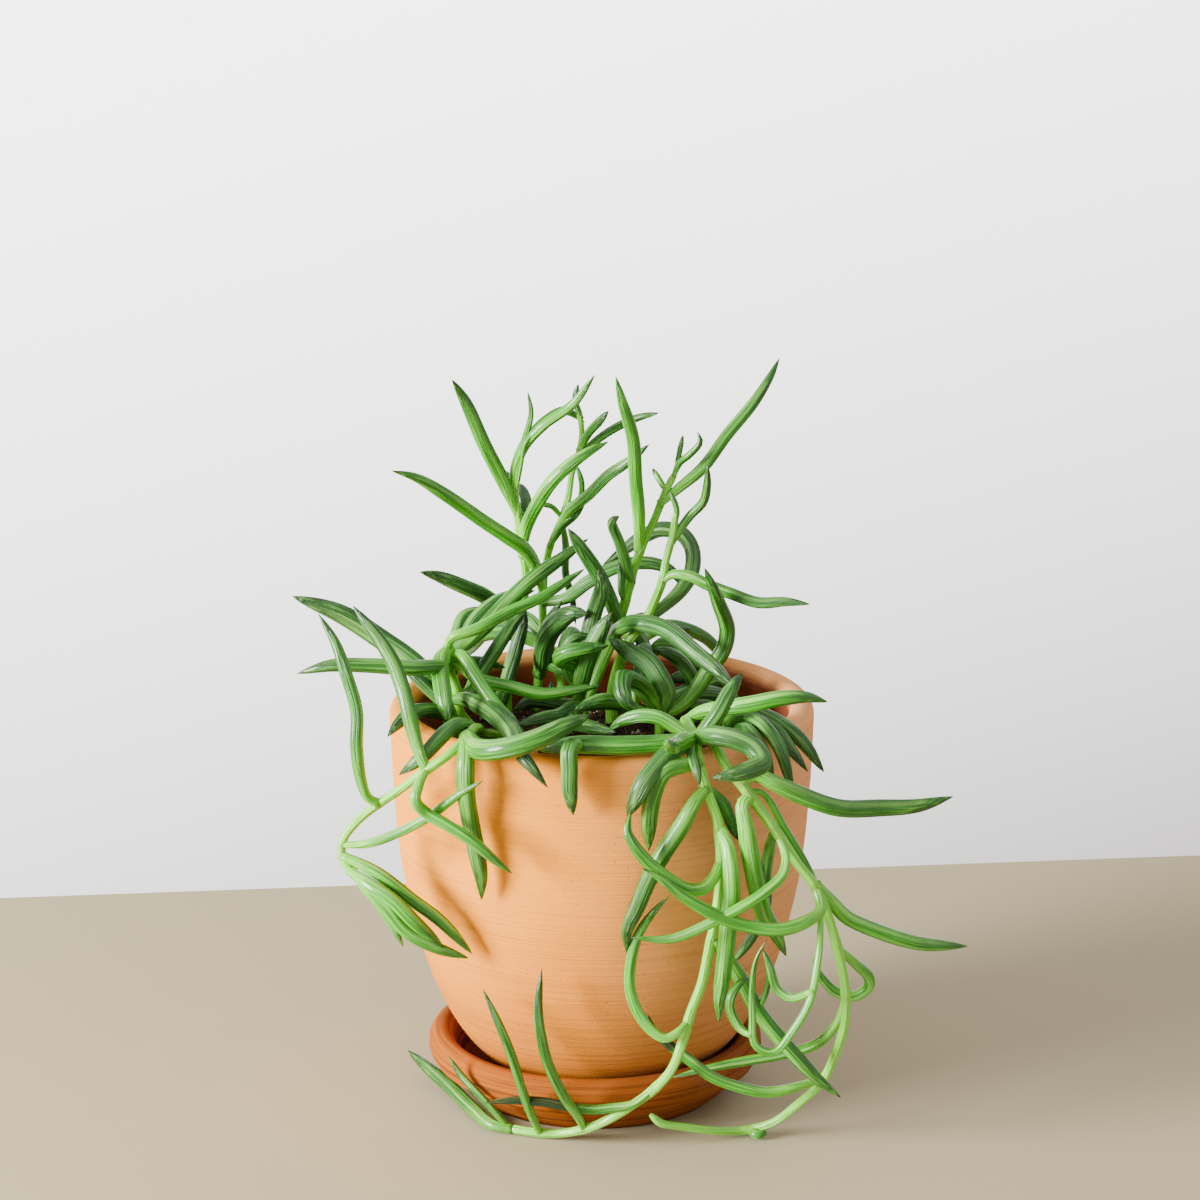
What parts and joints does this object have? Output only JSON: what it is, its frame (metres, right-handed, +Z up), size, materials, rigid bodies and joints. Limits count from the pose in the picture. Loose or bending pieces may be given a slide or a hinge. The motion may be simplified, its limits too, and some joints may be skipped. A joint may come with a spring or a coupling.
{
  "type": "potted string of bananas plant",
  "caption": "Trailing succulent with long banana-shaped leaves on stems that spill over the rim of a round terracotta pot standing in a saucer.",
  "frame": {"origin": "on the flat underside of the saucer, under the axis of the pot", "axes": "+Z up along the axis of the pot, -Y towards the full front of the plant where the stems trail over the rim, +X to the right of that view"},
  "size_m": [0.194, 0.1581, 0.215],
  "materials": {
    "terracotta": "matte",
    "saucer_clay": "matte",
    "soil": "matte",
    "foliage": "satin"
  },
  "bodies": {
    "root": {"saucer": "saucer_clay", "pot": "terracotta", "soil": "soil", "left_shoot": "foliage", "centre_shoot": "foliage", "tall_shoot": "foliage", "right_shoot": "foliage", "left_crown": "foliage", "left_trail": "foliage", "left_rim": "foliage", "right_front_trail": "foliage", "right_trail": "foliage", "right_rim": "foliage", "core_right": "foliage", "core_left": "foliage", "core_back": "foliage", "back_right": "foliage", "back_trail": "foliage", "back_crown": "foliage"}
  },
  "joints": []
}
